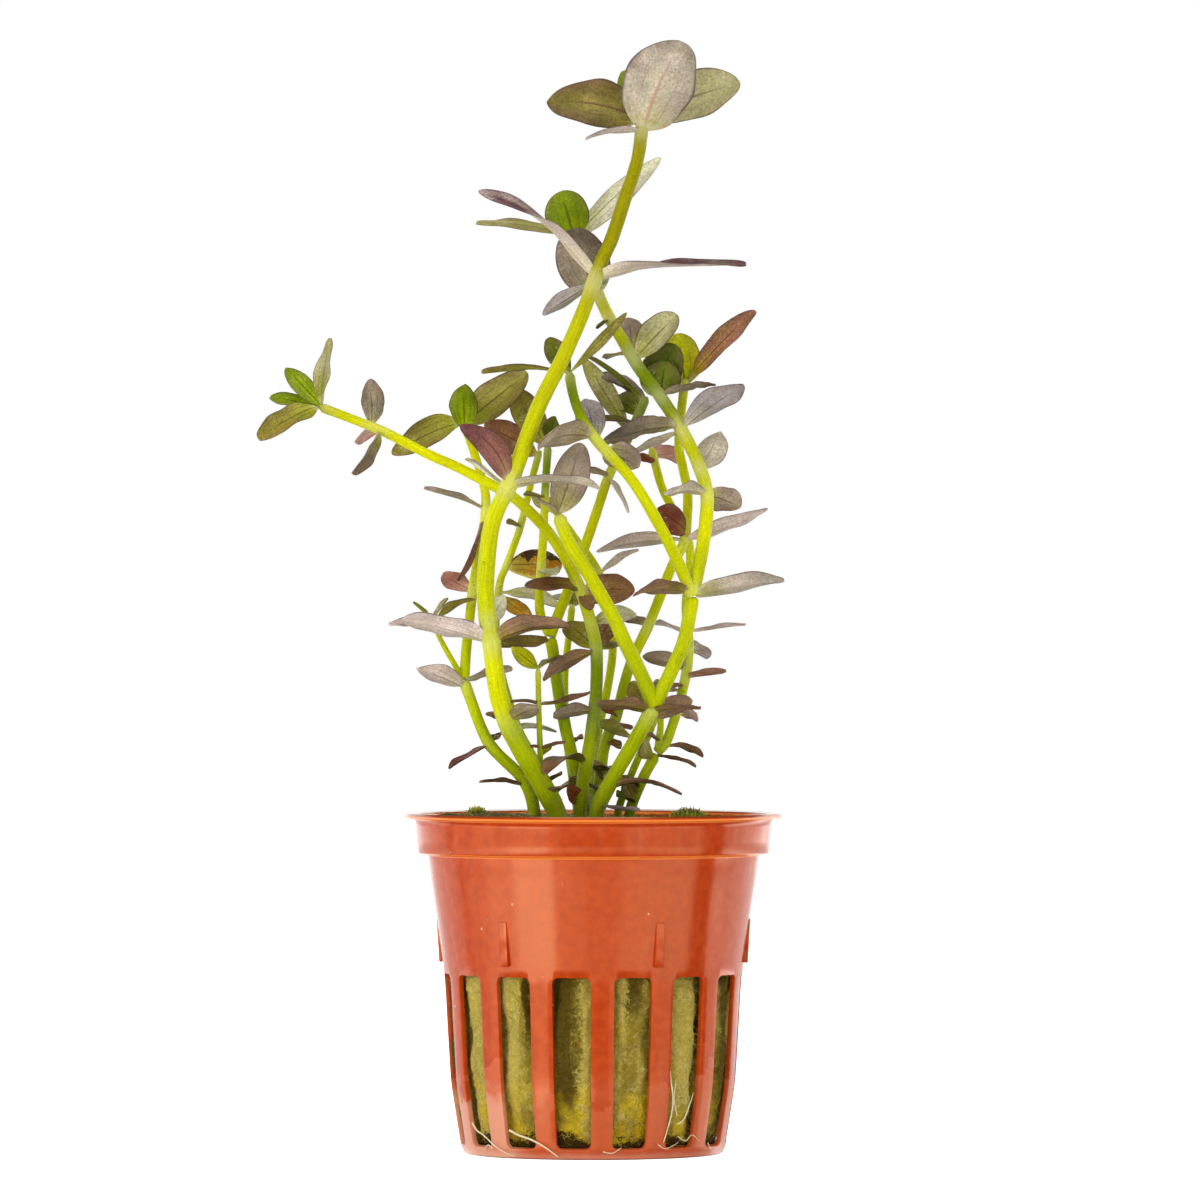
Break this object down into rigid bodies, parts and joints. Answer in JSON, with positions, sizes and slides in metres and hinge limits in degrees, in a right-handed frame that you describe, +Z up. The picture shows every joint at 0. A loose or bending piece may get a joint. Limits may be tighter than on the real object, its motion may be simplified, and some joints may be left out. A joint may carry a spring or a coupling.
{
  "type": "potted aquarium plant",
  "caption": "Purple-leaved stem plant for an aquarium, its stems rooted in a rockwool plug in a slotted net pot.",
  "frame": {"origin": "middle of the pot's underside, on the surface that the pot stands on", "axes": "+Z up along the pot's axis; -Y towards the side that the picture shows; +X to the right of it"},
  "size_m": [0.0759, 0.0549, 0.1603],
  "materials": {
    "pot_plastic": "gloss",
    "rockwool": "matte",
    "moss": "matte",
    "root": "satin",
    "stem": "satin",
    "leaf_purple": "satin",
    "leaf_taupe": "satin",
    "leaf_olive": "satin",
    "leaf_green": "satin"
  },
  "bodies": {
    "root": {"net_pot": "pot_plastic", "rockwool_plug": "rockwool", "moss_left": "moss", "moss_right": "moss", "root_left": "root", "root_front": "root", "root_right": "root", "stem_main": "stem", "stem_right_base": "stem", "stem_right_middle": "stem", "stem_right_upper": "stem", "branch_centre": "stem", "stem_left_reach": "stem", "branch_inner": "stem", "stem_left_base": "stem", "stem_left_upper": "stem", "twig_left": "stem", "stem_centre_base": "stem", "stem_centre_upper": "stem", "branch_back": "stem", "stem_back_left": "stem", "stem_edge_base": "stem", "stem_edge_upper": "stem", "twig_edge": "stem", "stem_back_right": "stem", "stem_back_centre": "stem", "stem_back_short": "stem", "stem_slim": "stem", "stem_back_low": "stem", "leaf_top_front": "leaf_taupe", "leaf_top_left": "leaf_olive", "leaf_top_right": "leaf_taupe", "leaf_upper_left": "leaf_purple", "leaf_upper_right": "leaf_purple", "leaf_upper_round": "leaf_taupe", "leaf_crown_left": "leaf_olive", "leaf_crown_round": "leaf_green", "leaf_crown_right": "leaf_taupe", "leaf_node_left": "leaf_purple", "leaf_node_right": "leaf_purple", "leaf_middle_left": "leaf_purple", "leaf_middle_right": "leaf_purple", "leaf_wing_right": "leaf_taupe", "leaf_wing_left": "leaf_taupe", "leaf_fork_left": "leaf_purple", "leaf_fork_right": "leaf_taupe", "leaf_round_right": "leaf_taupe", "leaf_inner_upright": "leaf_taupe", "leaf_reach_up": "leaf_purple", "leaf_reach_front": "leaf_purple", "leaf_tip_up": "leaf_olive", "leaf_tip_down": "leaf_olive", "leaf_inner_left": "leaf_taupe", "leaf_inner_right": "leaf_taupe", "leaf_back_left": "leaf_olive", "leaf_back_right": "leaf_olive", "leaf_round_green": "leaf_green", "leaf_orange": "leaf_purple", "leaf_edge_right": "leaf_purple", "leaf_cross_right": "leaf_purple"}
  },
  "joints": []
}
